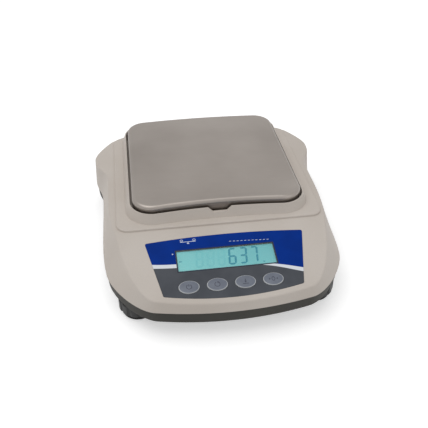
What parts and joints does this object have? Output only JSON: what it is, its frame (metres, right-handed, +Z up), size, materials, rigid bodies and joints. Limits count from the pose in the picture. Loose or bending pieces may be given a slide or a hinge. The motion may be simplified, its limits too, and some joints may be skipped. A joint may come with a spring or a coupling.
{
  "type": "precision balance",
  "caption": "Bench-top precision balance: lift-off steel pan on a load cell, sloped console with display and press keys, levelling feet.",
  "frame": {"origin": "on the bench, below the middle of the housing's length and width", "axes": "+X to the right of the person reading the display, +Y to the back, +Z up"},
  "size_m": [0.216, 0.252, 0.0705],
  "materials": {
    "housing": "fine moulded texture",
    "tray": "fine moulded texture",
    "pan_steel": "brushed",
    "cast_alloy": "as cast",
    "cell_alloy": "milled",
    "screw_steel": "zinc plated",
    "rubber": "matte",
    "knob": "satin",
    "film": "satin polyester with a blue upper field and a white band",
    "window": "clear",
    "lcd": "lit from behind",
    "light_guide": "clear edge-lit plastic",
    "black_plastic": "satin",
    "circuit": "solder mask",
    "key": "embossed, pale ring",
    "brass": "turned"
  },
  "bodies": {
    "housing": {"upper_housing": "housing", "lower_housing": "tray", "housing_screws": "screw_steel", "load_cell": "cell_alloy", "cell_plate": "screw_steel", "cell_screws": "screw_steel", "overload_stop": "screw_steel", "overlay_film": "film", "display_window": "window", "display_glass": "lcd", "display_light": "light_guide", "display_frame": "black_plastic", "keypad_board": "circuit", "key_switches": "black_plastic", "board_screws": "screw_steel", "main_board": "circuit", "board_chips": "black_plastic", "main_board_screws": "screw_steel", "power_socket": "black_plastic", "socket_nut": "screw_steel", "level_case": "black_plastic", "level_glass": "window", "foot_inserts": "brass"},
    "carrier": {"pan_carrier": "cast_alloy", "post_caps": "rubber", "carrier_screws": "screw_steel"},
    "pan": {"weighing_pan": "pan_steel"},
    "key_1": {"key_1": "key"},
    "key_2": {"key_2": "key"},
    "key_3": {"key_3": "key"},
    "key_4": {"key_4": "key"},
    "foot_pad_front_left": {"foot_pad_front_left": "rubber"},
    "foot_knob_front_left": {"foot_knob_front_left": "knob", "foot_stud_front_left": "screw_steel"},
    "foot_pad_front_right": {"foot_pad_front_right": "rubber"},
    "foot_knob_front_right": {"foot_knob_front_right": "knob", "foot_stud_front_right": "screw_steel"},
    "foot_pad_rear_left": {"foot_pad_rear_left": "rubber"},
    "foot_knob_rear_left": {"foot_knob_rear_left": "knob", "foot_stud_rear_left": "screw_steel"},
    "foot_pad_rear_right": {"foot_pad_rear_right": "rubber"},
    "foot_knob_rear_right": {"foot_knob_rear_right": "knob", "foot_stud_rear_right": "screw_steel"}
  },
  "joints": [
    {"name": "cell_flex", "type": "slide", "parent": "housing", "child": "carrier", "axis": [0, 0, 1], "range_m": [-0.0004, 0], "stiffness_N_per_m": 30000, "deforming": ["load_cell"]},
    {"name": "pan_lift", "type": "slide", "parent": "carrier", "child": "pan", "axis": [0, 0, 1], "range_m": [0, 0.06]},
    {"name": "key_1_press", "type": "slide", "parent": "housing", "child": "key_1", "axis": [0, 0.2105, -0.9776], "range_m": [0, 0.0005], "stiffness_N_per_m": 1500},
    {"name": "key_2_press", "type": "slide", "parent": "housing", "child": "key_2", "axis": [0, 0.2105, -0.9776], "range_m": [0, 0.0005], "stiffness_N_per_m": 1500},
    {"name": "key_3_press", "type": "slide", "parent": "housing", "child": "key_3", "axis": [0, 0.2105, -0.9776], "range_m": [0, 0.0005], "stiffness_N_per_m": 1500},
    {"name": "key_4_press", "type": "slide", "parent": "housing", "child": "key_4", "axis": [0, 0.2105, -0.9776], "range_m": [0, 0.0005], "stiffness_N_per_m": 1500},
    {"name": "foot_height_front_left", "type": "slide", "parent": "housing", "child": "foot_pad_front_left", "axis": [0, 0, -1], "range_m": [-0.0013, 0.0057]},
    {"name": "foot_turn_front_left", "type": "hinge", "parent": "foot_pad_front_left", "child": "foot_knob_front_left", "pos_m": [-0.0746, -0.083, 0.01], "axis": [0, 0, -1], "range_deg": [-360, 1620]},
    {"name": "foot_height_front_right", "type": "slide", "parent": "housing", "child": "foot_pad_front_right", "axis": [0, 0, -1], "range_m": [-0.0013, 0.0057]},
    {"name": "foot_turn_front_right", "type": "hinge", "parent": "foot_pad_front_right", "child": "foot_knob_front_right", "pos_m": [0.0746, -0.083, 0.01], "axis": [0, 0, -1], "range_deg": [-360, 1620]},
    {"name": "foot_height_rear_left", "type": "slide", "parent": "housing", "child": "foot_pad_rear_left", "axis": [0, 0, -1], "range_m": [-0.0013, 0.0057]},
    {"name": "foot_turn_rear_left", "type": "hinge", "parent": "foot_pad_rear_left", "child": "foot_knob_rear_left", "pos_m": [-0.08, 0.08, 0.01], "axis": [0, 0, -1], "range_deg": [-360, 1620]},
    {"name": "foot_height_rear_right", "type": "slide", "parent": "housing", "child": "foot_pad_rear_right", "axis": [0, 0, -1], "range_m": [-0.0013, 0.0057]},
    {"name": "foot_turn_rear_right", "type": "hinge", "parent": "foot_pad_rear_right", "child": "foot_knob_rear_right", "pos_m": [0.08, 0.08, 0.01], "axis": [0, 0, -1], "range_deg": [-360, 1620]}
  ],
  "couplings": [
    {"joint": "foot_height_front_left", "follows": "foot_turn_front_left", "m_per_rad": 0.00019894},
    {"joint": "foot_height_front_right", "follows": "foot_turn_front_right", "m_per_rad": 0.00019894},
    {"joint": "foot_height_rear_left", "follows": "foot_turn_rear_left", "m_per_rad": 0.00019894},
    {"joint": "foot_height_rear_right", "follows": "foot_turn_rear_right", "m_per_rad": 0.00019894}
  ]
}
